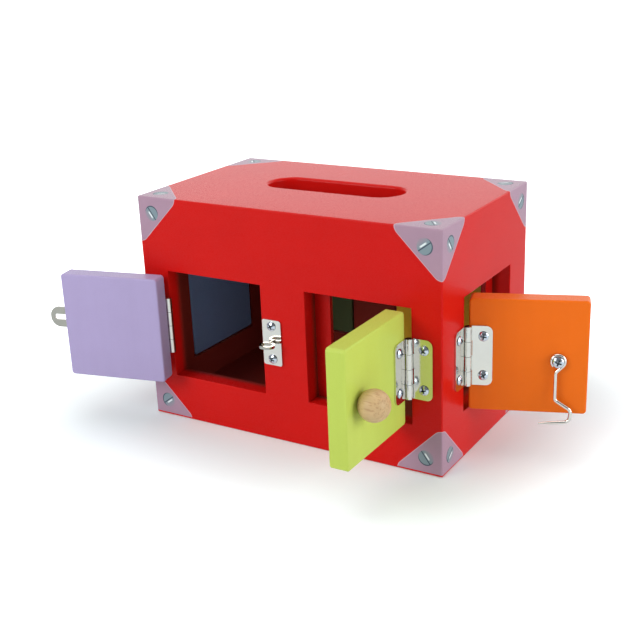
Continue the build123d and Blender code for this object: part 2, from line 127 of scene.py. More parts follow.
class CaseLooks(bpy.types.PropertyGroup):
    """Shape and paint of the case."""
    red: colour_prop("Case red", "Gloss paint on the boards", (208, 20, 16))
    # Darker red for the inner faces, which the reveals fade to with depth: painted shade
    inside: colour_prop("Inside coat", "Thin coat on the boards' inner faces", (128, 44, 36))
    edge_round: length_prop("Edge round", "Radius of the case's outer edges", 1.0)
    rim_round: length_prop("Rim round", "Radius of the doorways' edges", 0.6)
    hinge_gap: length_prop("Hinge gap", "Doorway past a door's hinge edge", 0.8)
    free_gap: length_prop("Free gap", "Doorway past a door's free edge", 1.8)
    level_gap: length_prop("Level gap", "Doorway above and below a door", 1.0)
    slot_length: length_prop("Slot length", "Grip slot from end to end", 109.0)
    slot_width: length_prop("Slot width", "Grip slot from side to side", 33.0)
    slot_shift: length_prop("Slot shift", "Grip slot's place behind the middle", 5.0)
    slot_rim: length_prop("Slot rim", "Radius of the grip slot's upper rim", 2.2)


class PrintLooks(bpy.types.PropertyGroup):
    """Printed corners of the case."""
    plate: colour_prop("Corner lilac", "Ground of the printed corners", (174, 142, 161))
    border: colour_prop("Corner border", "Fine line along a printed corner's edge", (206, 190, 202))
    screw_face: colour_prop("Printed screw", "Face of the printed screws", (132, 150, 158))
    screw_dark: colour_prop("Printed line", "Slot and shaded rim of the printed screws", (74, 84, 100))
    glint: colour_prop("Printed glint", "Highlight beside the slot", (234, 240, 242))
    leg: length_prop("Corner leg", "Length of a printed corner along the case's edge", 36.5)
    tip_round: length_prop("Corner tip", "Radius at the tips of a printed corner", 7.5)
    screw_inset: length_prop("Printed screw inset", "Printed screw's middle from both edges", 12.0)
    screw_radius: length_prop("Printed screw radius", "Radius of a printed screw", 5.6)
    bare_foot: length_prop("Bare foot", "Height of the bare paint along the base", 1.5)
    slot_turn: angle_prop("Printed slot turn", "Slope of the printed slots", math.radians(36))


class DoorLooks(bpy.types.PropertyGroup):
    """Paint of the six doors."""
    purple: colour_prop("Purple", "Gloss paint on the hasp's door", (177, 163, 204))
    green: colour_prop("Green", "Gloss paint on the knob's door", (195, 213, 95))
    orange: colour_prop("Orange", "Gloss paint on the hook's door", (238, 111, 24))
    blue: colour_prop("Blue", "Gloss paint on the bolt's door", (108, 132, 172))
    yellow: colour_prop("Yellow", "Gloss paint on the turn button's door", (244, 196, 60))
    teal: colour_prop("Teal", "Gloss paint on the swing bar's door", (80, 92, 62))


class FittingLooks(bpy.types.PropertyGroup):
    """Plating of the fittings, and the screws."""
    nickel: colour_prop("Nickel", "Plating of hinges, hook, bolt and bars", (223, 220, 214))
    steel: colour_prop("Steel", "Duller plating of hasp and staple", (176, 172, 164))
    zinc: colour_prop("Zinc", "Plating of the screws", (208, 218, 230))
    beech: colour_prop("Beech", "Knob and turn button", (207, 174, 128))
    head_radius: length_prop("Screw head radius", "Radius of a pan head before it is scaled", 3.4)
    head_height: length_prop("Screw head height", "Height of a pan head", 1.8)
    head_edge: length_prop("Screw head edge", "Height of a pan head's upright side", 0.5)
    shank_radius: length_prop("Screw shank", "Radius of a screw's shank", 1.5)
    shank_length: length_prop("Screw stub", "Length of shank under the head", 4.0)
    recess_width: length_prop("Recess width", "Width of a recess wing at the surface", 1.0)
    recess_reach: length_prop("Recess reach", "Reach of a recess wing from the screw's axis", 2.45)
    recess_depth: length_prop("Recess depth", "Depth of the cross recess", 2.0)
    turn_step: angle_prop("Turn step", "Turn of each screw past the one before it", 0.9)


class StageLooks(bpy.types.PropertyGroup):
    """Floor, lamps and camera."""
    floor: colour_prop("Floor", "Plain floor", (236, 246, 248))
    near_glow: amount_prop("Near glow", "Floor's own light beside the box", 0.1)
    far_glow: amount_prop("Far glow", "Floor's own light far from the box", 1.0)
    shade_reach: length_prop("Shade reach", "How far from the case the floor stays shaded", 15.0)
    clear_reach: length_prop("Clear reach", "How far from the case the floor turns white", 200.0)
    azimuth: angle_prop("Azimuth", "Camera's turn to the right", 0.55331217)
    elevation: angle_prop("Elevation", "Camera's height", 0.3453417)
    roll: angle_prop("Roll", "Camera's tilt", -0.0402923)
    distance: length_prop("Distance", "Camera's distance from the middle of the base", 838.73)
    shift: length_prop("Shift", "Camera's shift to the left, square to its view", 14.88)
    lift: length_prop("Lift", "Camera's shift upwards, square to its view", 65.16)
    lens: amount_prop("Lens", "Focal length in millimetres", 61.43, unit="CAMERA")
    key: amount_prop("Key", "Overhead lamp in watts", 6.4, unit="POWER")
    fill: amount_prop("Fill", "Front lamp in watts", 15.8, unit="POWER")
    side: amount_prop("Side", "Right-hand lamp in watts", 11.4, unit="POWER")
    back: amount_prop("Back", "Lamp behind the box in watts", 7.0, unit="POWER")
    room: amount_prop("Room", "Strength of the room's light", 0.3)
    bright_room: amount_prop("Bright room", "Room behind the box, in reflections", 1.5)
    dim_room: amount_prop("Dim room", "Room before the box, in reflections", 0.2)


class LockBoxLooks(bpy.types.PropertyGroup):
    """All the looks of the lock box."""
    case: PointerProperty(type=CaseLooks)
    prints: PointerProperty(type=PrintLooks)
    doors: PointerProperty(type=DoorLooks)
    fittings: PointerProperty(type=FittingLooks)
    stage: PointerProperty(type=StageLooks)


def looks():
    """The looks that the scene holds."""
    return bpy.context.scene.lock_box


# Mesh building

def new_piece(name, mesh):
    """An object of a finished bmesh."""
    data = bpy.data.meshes.new(name)
    bmesh.ops.recalc_face_normals(mesh, faces=mesh.faces)
    mesh.to_mesh(data)
    mesh.free()
    piece = bpy.data.objects.new(name, data)
    bpy.context.scene.collection.objects.link(piece)
    return piece


def settle(piece):
    """Turns what a piece's modifiers make into its own plain mesh."""
    bpy.context.view_layer.update()
    made = bpy.data.meshes.new_from_object(piece.evaluated_get(bpy.context.evaluated_depsgraph_get()))
    piece.modifiers.clear()
    piece.data = made


def carve(piece, cutter):
    """Cuts one object out of another and removes the cutter."""
    cut = piece.modifiers.new("cut", "BOOLEAN")
    cut.operation = "DIFFERENCE"
    cut.solver = "EXACT"
    cut.object = cutter
    cut.use_self = True
    settle(piece)
    bpy.data.objects.remove(cutter)
    mesh = bmesh.new()
    mesh.from_mesh(piece.data)
    bmesh.ops.dissolve_degenerate(mesh, dist=SEAM, edges=mesh.edges)
    mesh.to_mesh(piece.data)
    mesh.free()


def loft(mesh, rings):
    """Closes a skin over rings of as many points each, from the first ring to the last."""
    loops = [[mesh.verts.new(point) for point in ring] for ring in rings]
    count = len(loops[0])
    for low, high in zip(loops, loops[1:]):
        for k in range(count):
            after = (k + 1) % count
            mesh.faces.new((low[k], low[after], high[after], high[k]))
    mesh.faces.new(loops[0][::-1])
    mesh.faces.new(loops[-1])


def smooth_by_angle(data, angle):
    """Smooth shading, with edges sharper than the angle kept."""
    data.polygons.foreach_set("use_smooth", [True] * len(data.polygons))
    mesh = bmesh.new()
    mesh.from_mesh(data)
    for edge in mesh.edges:
        edge.smooth = edge.is_manifold and edge.calc_face_angle(0) < angle
    mesh.to_mesh(data)
    mesh.free()


# Shader building

def add(tree, kind, inputs=None, **settings):
    """A node with its settings, and its sockets set or linked."""
    made = tree.nodes.new(kind)
    for key, value in settings.items():
        setattr(made, key, value)
    for key, value in (inputs or {}).items():
        if isinstance(value, bpy.types.NodeSocket):
            tree.links.new(value, made.inputs[key])
        else:
            made.inputs[key].default_value = value
    return made


def calc(tree, operation, *values, clamp=False):
    """A Math node's result."""
    return add(
        tree, "ShaderNodeMath", dict(enumerate(values)), operation=operation, use_clamp=clamp
    ).outputs[0]


def fold(tree, operation, values):
    """One Math operation over several numbers."""
    result = values[0]
    for value in values[1:]:
        result = calc(tree, operation, result, value)
    return result


def length_of(tree, first, second):
    """The length of a flat offset."""
    squares = calc(tree, "ADD", calc(tree, "POWER", first, 2), calc(tree, "POWER", second, 2))
    return calc(tree, "SQRT", squares)


def between(tree, share, first, second):
    """A number between two others."""
    return add(tree, "ShaderNodeMix", {0: share, 2: first, 3: second}, data_type="FLOAT").outputs[0]


def blend_colour(tree, share, first, second):
    """Two colours mixed by a share."""
    def four(value):
        return value if isinstance(value, bpy.types.NodeSocket) else (*value, 1)
    inputs = {0: share, 6: four(first), 7: four(second)}
    return add(tree, "ShaderNodeMix", inputs, data_type="RGBA").outputs[2]


def shade(colour, factor):
    """A colour made darker or lighter."""
    return tuple(min(1, value * factor) for value in colour)


def mottle(tree, share, colour, darkest, lightest):
    """A colour that wanders between a darker and a lighter shade of itself."""
    return blend_colour(tree, share, shade(colour, darkest), shade(colour, lightest))


def ramp(tree, value, start, end, first, last, smooth=False):
    """A number carried from one range to another."""
    kind = "SMOOTHSTEP" if smooth else "LINEAR"
    inputs = {0: value, 1: start, 2: end, 3: first, 4: last}
    return add(tree, "ShaderNodeMapRange", inputs, interpolation_type=kind).outputs[0]


def under(tree, value, edge, softness):
    """One below the edge and zero above it."""
    return ramp(tree, value, edge - softness, edge + softness, first=1.0, last=0.0, smooth=True)


# Finishes

def new_finish(name):
    """A new material, its node tree and its shader."""
    finish = bpy.data.materials.new(name)
    finish.use_nodes = True
    tree = finish.node_tree
    return finish, tree, tree.nodes["Principled BSDF"]


def place(tree, scale=(1, 1, 1)):
    """Object coordinates, stretched."""
    coords = add(tree, "ShaderNodeTexCoord").outputs["Object"]
    return add(tree, "ShaderNodeMapping", {"Vector": coords, "Scale": scale}).outputs[0]


def noise(tree, vector, scale, detail, roughness=0.55):
    """Noise with a scale in spots to the metre."""
    inputs = {"Vector": vector, "Scale": scale, "Detail": detail, "Roughness": roughness}
    return add(tree, "ShaderNodeTexNoise", inputs).outputs["Fac"]


def emboss(tree, shader, height, strength, distance):
    """Relief on a finish."""
    bump = add(tree, "ShaderNodeBump", {"Strength": strength, "Distance": distance, "Height": height})
    tree.links.new(bump.outputs[0], shader.inputs["Normal"])


def gloss_paint(tree, shader, colour, grain):
    """Sprayed gloss paint on wood: mottled, faintly dimpled, with the grain just showing through.

    Returns the paint's colour.
    """
    streak_tone = 0.3
    dimple_relief = 0.45
    even = place(tree)
    cloud = noise(tree, even, scale=22, detail=4)
    streak = noise(tree, place(tree, grain), scale=160, detail=3, roughness=0.6)
    dimple = noise(tree, even, scale=900, detail=2)
    speck = noise(tree, even, scale=2600, detail=1)
    tone = between(tree, streak_tone, cloud, streak)
    relief = between(tree, dimple_relief, streak, dimple)
    emboss(tree, shader, relief, strength=0.12, distance=0.35 * MM)
    roughness = ramp(tree, speck, start=0.25, end=0.75, first=0.24, last=0.33)
    tree.links.new(roughness, shader.inputs["Roughness"])
    shader.inputs["Specular IOR Level"].default_value = 0.11
    return mottle(tree, tone, colour, darkest=0.9, lightest=1.08)


def gloss_finish(name, colour, grain):
    """Gloss paint of one colour."""
    finish, tree, shader = new_finish(name)
    tree.links.new(gloss_paint(tree, shader, colour, grain), shader.inputs["Base Color"])
    return finish


def depths_in_case(tree, x, y, rise):
    """How far in a point lies from the case's nearest end, long side and deck."""
    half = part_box("bottom_board")[1]
    half_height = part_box("top_board")[1].z / 2
    from_end = calc(tree, "SUBTRACT", half.x, calc(tree, "ABSOLUTE", x))
    from_side = calc(tree, "SUBTRACT", half.y, calc(tree, "ABSOLUTE", y))
    from_deck = calc(tree, "SUBTRACT", half_height, calc(tree, "ABSOLUTE", rise))
    return from_end, from_side, from_deck


def plate_masks(tree, z, depths, sizes):
    """Where a corner plate is printed, and where its ground lies inside its border.

    The plate's edge slants over each face, and the tip that two faces share is rounded.
    """
    border = 0.35 * MM
    skin = 2 * MM
    total = fold(tree, "ADD", depths)
    longest = fold(tree, "MAXIMUM", depths)
    over = calc(tree, "SUBTRACT", total, sizes.leg)
    beyond = calc(tree, "SUBTRACT", calc(tree, "MULTIPLY", longest, 2), calc(tree, "ADD", total, sizes.leg))
    sides = [calc(tree, "DIVIDE", side, math.sqrt(2)) for side in (over, beyond)]
    past = [calc(tree, "MAXIMUM", calc(tree, "ADD", side, sizes.tip_round), 0.0) for side in sides]
    reach = length_of(tree, *past)
    bare = under(tree, z, sizes.bare_foot, PRINT_EDGE)
    plate = calc(tree, "SUBTRACT", under(tree, reach, sizes.tip_round, PRINT_EDGE), bare, clamp=True)
    on_skin = under(tree, fold(tree, "MINIMUM", depths), skin, PRINT_EDGE)
    field = under(tree, reach, sizes.tip_round - border, PRINT_EDGE)
    return calc(tree, "MULTIPLY", plate, on_skin), field


def screw_offsets(tree, x, y, rise, depths, sizes):
    """A point's offsets from the middle of the printed screw, in the print's own frame.

    Each plate is one print, turned about the case's corner from face to face.
    """
    squarely = 0.7
    same_within = 0.1
    from_end, from_side, from_deck = depths
    normal = add(tree, "ShaderNodeNewGeometry").outputs["True Normal"]
    nx, _, nz = add(tree, "ShaderNodeSeparateXYZ", {0: normal}).outputs
    on_end = calc(tree, "GREATER_THAN", calc(tree, "ABSOLUTE", nx), squarely)
    on_deck = calc(tree, "GREATER_THAN", calc(tree, "ABSOLUTE", nz), squarely)
    first = calc(tree, "SUBTRACT", sizes.screw_inset, between(tree, on_end, from_end, from_side))
    second = calc(tree, "SUBTRACT", sizes.screw_inset, between(tree, on_deck, from_deck, from_side))
    octant = calc(tree, "SIGN", fold(tree, "MULTIPLY", (x, y, rise)))
    on_long_side = calc(tree, "SUBTRACT", 1.0, calc(tree, "MAXIMUM", on_end, on_deck))
    turned = calc(tree, "COMPARE", calc(tree, "GREATER_THAN", octant, 0.0), on_long_side, same_within)
    return between(tree, turned, first, second), between(tree, turned, second, first)


def screw_inks(tree, across, along, sizes):
    """The printed screw's masks and inks: its face, the shadow along its rim, a glint and its slot."""
    rim = 0.4 * MM
    half_slot = 0.42 * MM
    glint_lift = 1.35 * MM
    half_glint = 0.6 * MM
    glint_back = 0.4 * MM
    glint_reach = 2.6 * MM
    glint_fade = 0.9 * MM
    shadow_across = 0.75 * MM
    shadow_along = 0.2 * MM
    shadow_trim = 0.05 * MM
    ink_full = 1.0 * MM
    ink_thin = 5.0 * MM
    thin_share = 0.35

    # Offsets along the slot and square to it
    cosine = math.cos(sizes.slot_turn)
    sine = math.sin(sizes.slot_turn)
    fall = calc(tree, "MULTIPLY", across, sine)
    lift = calc(tree, "SUBTRACT", calc(tree, "MULTIPLY", along, cosine), fall)
    run = calc(tree, "ADD", calc(tree, "MULTIPLY", across, cosine), calc(tree, "MULTIPLY", along, sine))

    radius = length_of(tree, across, along)
    disc = under(tree, radius, sizes.screw_radius, 2 * PRINT_EDGE)
    face = calc(tree, "MULTIPLY", disc, ramp(tree, lift, ink_full, ink_thin, first=1.0, last=thin_share))
    slot = calc(tree, "MULTIPLY", under(tree, calc(tree, "ABSOLUTE", lift), half_slot, PRINT_EDGE), disc)

    off_line = calc(tree, "ABSOLUTE", calc(tree, "SUBTRACT", lift, glint_lift))
    off_middle = calc(tree, "ABSOLUTE", calc(tree, "ADD", run, glint_back))
    glint_line = under(tree, off_line, half_glint, 2 * PRINT_EDGE)
    glint_ends = under(tree, off_middle, glint_reach, glint_fade)
    inner = under(tree, radius, sizes.screw_radius - rim, PRINT_EDGE)
    glint = fold(tree, "MULTIPLY", (glint_line, glint_ends, inner))

    lit_across = calc(tree, "ADD", across, shadow_across)
    lit_along = calc(tree, "SUBTRACT", along, shadow_along)
    lit_radius = length_of(tree, lit_across, lit_along)
    lit = under(tree, lit_radius, sizes.screw_radius - shadow_trim, PRINT_EDGE)
    shadow = calc(tree, "SUBTRACT", disc, lit, clamp=True)
    return (
        (face, sizes.screw_face),
        (shadow, sizes.screw_dark),
        (glint, sizes.glint),
        (slot, sizes.screw_dark),
    )


def inner_shade_mask(tree, depths):
    """Where painted shade darkens the red, deepening along the reveals into the case, while the grip slot's
    wall stays red.
    """
    coat_margin = 0.1 * MM
    deck_margin = 0.3 * MM
    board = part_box("bottom_board")[1].z
    depth = fold(tree, "MINIMUM", depths)
    within = ramp(tree, depth, board / 2, board - coat_margin, first=0.0, last=1.0, smooth=True)
    in_deck = under(tree, depths[2], board - deck_margin, PRINT_EDGE)
    return calc(tree, "SUBTRACT", within, in_deck, clamp=True)


def corner_print(tree, ground, sizes, case):
    """The case's colour: its paint, a darker red inside as painted shade, and corner plates printed with a
    slotted screw.
    """
    coords = add(tree, "ShaderNodeTexCoord").outputs["Object"]
    x, y, z = add(tree, "ShaderNodeSeparateXYZ", {0: coords}).outputs
    rise = calc(tree, "SUBTRACT", z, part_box("top_board")[1].z / 2)
    depths = depths_in_case(tree, x, y, rise)
    # Painted shade: the red darkens towards the inside of the case
    coat = blend_colour(tree, inner_shade_mask(tree, depths), ground, case.inside)
    plate, field = plate_masks(tree, z, depths, sizes)
    cloud = noise(tree, coords, scale=60, detail=3)
    lilac = mottle(tree, cloud, sizes.plate, darkest=0.94, lightest=1.06)
    printed = blend_colour(tree, field, sizes.border, lilac)
    across, along = screw_offsets(tree, x, y, rise, depths, sizes)
    for mask, ink in screw_inks(tree, across, along, sizes):
        printed = blend_colour(tree, mask, printed, ink)
    return blend_colour(tree, plate, coat, printed)


def plated(name, colour, roughness):
    """Bright plating with fine rolling marks and a few smudges, with painted shade darkening its crevices.
    """
    marks_share = 0.3
    crevice = 0.8 * MM
    crevice_shade = 0.12
    roughest = roughness + 0.1
    finish, tree, shader = new_finish(name)
    marks = noise(tree, place(tree, ROLLING_MARKS_Z), scale=2400, detail=2)
    smudge = noise(tree, place(tree), scale=140, detail=4)
    tone = mottle(tree, smudge, colour, darkest=0.92, lightest=1.05)
    # Painted shade: ambient occlusion darkens the plating in crevices and between parts
    open_share = add(tree, "ShaderNodeAmbientOcclusion", {"Distance": crevice}, samples=8).outputs["AO"]
    unshaded = ramp(tree, open_share, start=0.25, end=0.7, first=0.0, last=1.0)
    metal = blend_colour(tree, unshaded, shade(colour, crevice_shade), tone)
    tree.links.new(metal, shader.inputs["Base Color"])
    level = between(tree, marks_share, smudge, marks)
    dullness = ramp(tree, level, start=0.3, end=0.7, first=roughness, last=roughest)
    tree.links.new(dullness, shader.inputs["Roughness"])
    emboss(tree, shader, marks, strength=0.05, distance=0.1 * MM)
    shader.inputs["Metallic"].default_value = 1.0
    return finish


def varnished_beech(name, colour, grain):
    """Varnished beech: straight fine grain with short dark flecks along it."""
    fleck_tint = (0.62, 0.42, 0.3)
    fleck_share = 0.42
    finish, tree, shader = new_finish(name)
    band = noise(tree, place(tree, grain), scale=420, detail=4, roughness=0.6)
    fleck = noise(tree, place(tree, grain), scale=1000, detail=1)
    wood = mottle(tree, band, colour, darkest=0.76, lightest=1.16)
    dark = calc(tree, "MULTIPLY", under(tree, fleck, edge=0.4, softness=0.05), fleck_share)
    fleck_colour = [value * tint for value, tint in zip(colour, fleck_tint)]
    tree.links.new(blend_colour(tree, dark, wood, fleck_colour), shader.inputs["Base Color"])
    emboss(tree, shader, fleck, strength=0.15, distance=0.2 * MM)
    shader.inputs["Roughness"].default_value = 0.42
    shader.inputs["Specular IOR Level"].default_value = 0.3
    return finish


def dress(node, finish):
    """Gives a CAD node its finish."""
    slots = frame["nodes"][node].data.materials
    slots.clear()
    slots.append(finish)


def ray_kinds(tree):
    """Whether a ray comes from the camera, and whether it comes by reflection or through glass."""
    rays = add(tree, "ShaderNodeLightPath").outputs
    mirrored = calc(tree, "MAXIMUM", rays["Is Glossy Ray"], rays["Is Transmission Ray"])
    return rays["Is Camera Ray"], mirrored


# Case

def case_blocks(sizes):
    """Grid lines along X, Y and Z on which the case's faces and doorways lie, and the cells of wood."""
    low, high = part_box("bottom_board")
    board = high.z
    high.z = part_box("top_board")[1].z
    left, right, end = (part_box(f"{door}_door_panel") for door in ("teal", "yellow", "blue"))
    lines = (
        (
            low.x, low.x + board,
            left[0].x - sizes.hinge_gap, left[1].x + sizes.free_gap,
            right[0].x - sizes.free_gap, right[1].x + sizes.hinge_gap,
            high.x - board, high.x,
        ),
        (
            low.y, low.y + board,
            end[0].y - sizes.free_gap, end[1].y + sizes.hinge_gap,
            high.y - board, high.y,
        ),
        (
            low.z, low.z + board,
            end[0].z - sizes.level_gap, end[1].z + sizes.level_gap,
            high.z - board, high.z,
        ),
    )

    # Cells along the lines that the doorways take up
    side_doors = (2, 4)
    end_door = 2
    door_level = 2
    last = [len(line) - 2 for line in lines]
    wood = set()
    for i in range(last[0] + 1):
        for j in range(last[1] + 1):
            for k in range(last[2] + 1):
                in_end = i in (0, last[0])
                in_side = j in (0, last[1])
                in_deck = k in (0, last[2])
                before_door = (in_side and i in side_doors) or (in_end and j == end_door)
                doorway = k == door_level and before_door
                if (in_end or in_side or in_deck) and not doorway:
                    wood.add((i, j, k))
    return lines, wood


def slot_cutter(sizes):
    """The grip slot as a solid, with its rims flared."""
    steps = 24
    bends = 8
    nearly_level = math.radians(89)
    clear = 3 * MM
    lower_rim = sizes.slot_rim / 2
    top_low, top_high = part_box("top_board")
    straight = (sizes.slot_length - sizes.slot_width) / 2

    def ring(spread, z):
        radius = sizes.slot_width / 2 + spread
        points = []
        for middle, start in ((straight, -math.pi / 2), (-straight, math.pi / 2)):
            for k in range(steps + 1):
                angle = start + math.pi * k / steps
                y = sizes.slot_shift + radius * math.sin(angle)
                points.append((middle + radius * math.cos(angle), y, z))
        return points

    rings = [ring(lower_rim, top_low.z - clear)]
    turns = [nearly_level * k / bends for k in range(bends + 1)]
    for turn in reversed(turns):
        rise = lower_rim * (1 - math.sin(turn))
        rings.append(ring(lower_rim * (1 - math.cos(turn)), top_low.z + rise))
    for turn in turns:
        drop = sizes.slot_rim * (1 - math.sin(turn))
        rings.append(ring(sizes.slot_rim * (1 - math.cos(turn)), top_high.z - drop))
    rings.append(ring(sizes.slot_rim, top_high.z + clear))
    mesh = bmesh.new()
    loft(mesh, rings)
    return new_piece("grip_slot", mesh)


def skin_of(lines, wood):
    """A mesh of the faces where wood meets air."""
    mesh = bmesh.new()
    corners = {}

    def corner(*index):
        if index not in corners:
            corners[index] = mesh.verts.new([line[n] for line, n in zip(lines, index)])
        return corners[index]

    for cell in sorted(wood):
        for axis in range(3):
            for side in (0, 1):
                beside = list(cell)
                beside[axis] += 2 * side - 1
                if tuple(beside) in wood:
                    continue
                u = (axis + 1) % 3
                v = (axis + 2) % 3
                face = []
                for du, dv in ((0, 0), (1, 0), (1, 1), (0, 1)):
                    index = list(cell)
                    index[axis] += side
                    index[u] += du
                    index[v] += dv
                    face.append(corner(*index))
                mesh.faces.new(face)
    bmesh.ops.recalc_face_normals(mesh, faces=mesh.faces)
    return mesh


def round_edges(mesh, lines, sizes):
    """Gives edges between two outer faces the larger round, and the doorways' outer rims the smaller."""
    outer = []
    rims = []
    for edge in mesh.edges:
        if edge.calc_face_angle(0) > ACROSS_FACES and edge.is_convex:
            middle = (edge.verts[0].co + edge.verts[1].co) / 2
            outward = [
                min(abs(spot - line[0]), abs(spot - line[-1])) < TOUCH
                for spot, line in zip(middle, lines)
            ]
            if sum(outward) == 2:
                outer.append(edge)
            elif any(outward):
                rims.append(edge)
    bmesh.ops.bevel(mesh, geom=rims, offset=sizes.rim_round, segments=3, profile=0.5, affect="EDGES")
    outer = [edge for edge in outer if edge.is_valid]
    bmesh.ops.bevel(mesh, geom=outer, offset=sizes.edge_round, segments=4, profile=0.5, affect="EDGES")


def case_shell(sizes):
    """The six boards under one skin of paint."""
    lines, wood = case_blocks(sizes)
    mesh = skin_of(lines, wood)
    round_edges(mesh, lines, sizes)
    case = new_piece("painted_case", mesh)
    carve(case, slot_cutter(sizes))
    smooth_by_angle(case.data, ACROSS_FACES)
    normals = case.modifiers.new("flat_faces", "WEIGHTED_NORMAL")
    normals.keep_sharp = True
    settle(case)
    return case


# Screws

def solids_of(node):
    """The points of each separate solid of a CAD node."""
    mesh = bmesh.new()
    mesh.from_mesh(frame["nodes"][node].data)
    bmesh.ops.remove_doubles(mesh, verts=mesh.verts, dist=TOUCH)
    seen = set()
    groups = []
    for start in mesh.verts:
        if start in seen:
            continue
        seen.add(start)
        waiting = [start]
        points = []
        while waiting:
            vert = waiting.pop()
            points.append(vert.co.copy())
            for edge in vert.link_edges:
                other = edge.other_vert(vert)
                if other not in seen:
                    seen.add(other)
                    waiting.append(other)
        groups.append(points)
    mesh.free()
    return groups


def screw_seats(node, sizes):
    """Each screw of a node: the point under its head, its axis and its head's size."""
    seats = []
    for points in solids_of(node):
        middle = sum(points, Vector()) / len(points)
        tip = max(points, key=lambda point: (point - middle).length)
        crown = max(points, key=lambda point: (point - tip).length)
        axis = (crown - tip).normalized()
        radius = max((point - tip).cross(axis).length for point in points)
        seats.append((crown - axis * sizes.head_height, axis, radius / sizes.head_radius))
    return seats


def plain_screw(sizes):
    """A pan-head screw without its recess, its head's underside at the origin."""
    sides = 40
    bends = 9
    radius = sizes.head_radius
    height = sizes.head_height
    edge = sizes.head_edge
    corner = edge / 2
    rise = height - edge
    crown = (radius**2 + rise**2) / (2 * rise)
    sweep = math.asin(radius / crown)
    profile = [
        (sizes.shank_radius, -sizes.shank_length),
        (sizes.shank_radius, 0),
        (radius - corner, 0),
        (radius, corner),
        (radius, edge),
    ]
    for bend in range(1, bends):
        angle = sweep * (1 - bend / bends)
        profile.append((crown * math.sin(angle), height - crown * (1 - math.cos(angle))))
    turns = [2 * math.pi * k / sides for k in range(sides)]
    mesh = bmesh.new()
    loft(mesh, [[(r * math.cos(turn), r * math.sin(turn), z) for turn in turns] for r, z in profile])
    return new_piece("pan_screw", mesh)


def recess_cutter(sizes):
    """The cross recess as a solid: two wings that cross and taper downwards."""
    bottom_reach = 0.4
    bottom_width = 0.6
    flare = 1.25
    levels = (
        (sizes.head_height - sizes.recess_depth, bottom_reach, bottom_width),
        (sizes.head_height + sizes.recess_depth / 2, flare, flare),
    )
    wings = bmesh.new()
    for turn in (Matrix.Identity(3), Matrix.Rotation(math.pi / 2, 3, "Z")):
        loft(wings, [
            [
                turn @ Vector((x * sizes.recess_reach * reach, y * sizes.recess_width / 2 * width, z))
                for x, y in ((-1, -1), (1, -1), (1, 1), (-1, 1))
            ]
            for z, reach, width in levels
        ])
    return new_piece("cross_recess", wings)


def screw_pattern(sizes):
    """One screw with its recess, whose faces are marked so that painted shade can make them darker than the
    head.
    """
    screw = plain_screw(sizes)
    cutter = recess_cutter(sizes)
    for piece in (screw, cutter):
        piece.data.materials.append(None)
        piece.data.materials.append(None)
    cutter.data.polygons.foreach_set("material_index", [1] * len(cutter.data.polygons))
    carve(screw, cutter)
    marks = [bool(face.material_index) for face in screw.data.polygons]
    screw.data.attributes.new("recess", "BOOLEAN", "FACE").data.foreach_set("value", marks)
    screw.data.materials.clear()
    return screw


def screw_tree(pattern, finish, shadow):
    """Geometry nodes that set a screw on each point, along the point's own axis, turn and size."""
    tree = bpy.data.node_groups.new("pan_screws", "GeometryNodeTree")
    tree.interface.new_socket("Geometry", in_out="INPUT", socket_type="NodeSocketGeometry")
    turn_step = tree.interface.new_socket("Turn step", in_out="INPUT", socket_type="NodeSocketFloat")
    tree.interface.new_socket("Geometry", in_out="OUTPUT", socket_type="NodeSocketGeometry")
    given = tree.nodes.new("NodeGroupInput")
    result = tree.nodes.new("NodeGroupOutput")

    def stored(name, kind):
        node = add(tree, "GeometryNodeInputNamedAttribute", {"Name": name}, data_type=kind)
        return node.outputs["Attribute"]

    along = stored("screw_axis", "FLOAT_VECTOR")
    upright = add(tree, "FunctionNodeAlignRotationToVector", {"Vector": along}, axis="Z")
    index = add(tree, "GeometryNodeInputIndex").outputs[0]
    turn = calc(tree, "MULTIPLY", index, given.outputs["Turn step"])
    spin = add(tree, "FunctionNodeAxisAngleToRotation", {"Axis": (0, 0, 1), "Angle": turn})
    aimed = add(
        tree, "FunctionNodeRotateRotation",
        {"Rotation": upright.outputs[0], "Rotate By": spin.outputs[0]}, rotation_space="LOCAL",
    )
    size = stored("screw_size", "FLOAT")
    scale = add(tree, "ShaderNodeCombineXYZ", {0: size, 1: size, 2: 1.0})
    shape = add(tree, "GeometryNodeObjectInfo", {"Object": pattern})
    points = add(tree, "GeometryNodeMeshToPoints", {"Mesh": given.outputs["Geometry"]})
    row = add(tree, "GeometryNodeInstanceOnPoints", {
        "Points": points.outputs[0], "Instance": shape.outputs["Geometry"],
        "Rotation": aimed.outputs[0], "Scale": scale.outputs[0],
    })
    real = add(tree, "GeometryNodeRealizeInstances", {"Geometry": row.outputs[0]})
    coated = add(tree, "GeometryNodeSetMaterial", {"Geometry": real.outputs[0], "Material": finish})
    # Painted shade: the recess faces take the darkened finish
    shaded = add(tree, "GeometryNodeSetMaterial", {
        "Geometry": coated.outputs[0], "Selection": stored("recess", "BOOLEAN"), "Material": shadow,
    })
    tree.links.new(shaded.outputs[0], result.inputs[0])
    return tree, turn_step.identifier


# Operators

class LOCKBOX_OT_paint_case(bpy.types.Operator):
    """Covers the six boards with one skin of red paint, with the printed corners, and paints the stops a
    red darkened as painted shade
    """
    bl_idname = "lockbox.paint_case"
    bl_label = "Paint case"

    def execute(self, context):
        sizes = looks().case
        case = case_shell(sizes)
        finish, tree, shader = new_finish("red_gloss_with_corner_prints")
        paint = gloss_paint(tree, shader, sizes.red, PAINT_GRAIN_X)
        tree.links.new(corner_print(tree, paint, looks().prints, sizes), shader.inputs["Base Color"])
        case.data.materials.append(finish)
        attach(case, "case")
        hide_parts(*BOARDS)
        # The stops sit back in the doorways; their red is darkened as painted shade
        shaded_red = shade(sizes.red, factor=0.7)
        stop_finish = gloss_finish("red_gloss", shaded_red, PAINT_GRAIN_Z)
        for node in STOPS:
            dress(node, stop_finish)
        return {"FINISHED"}


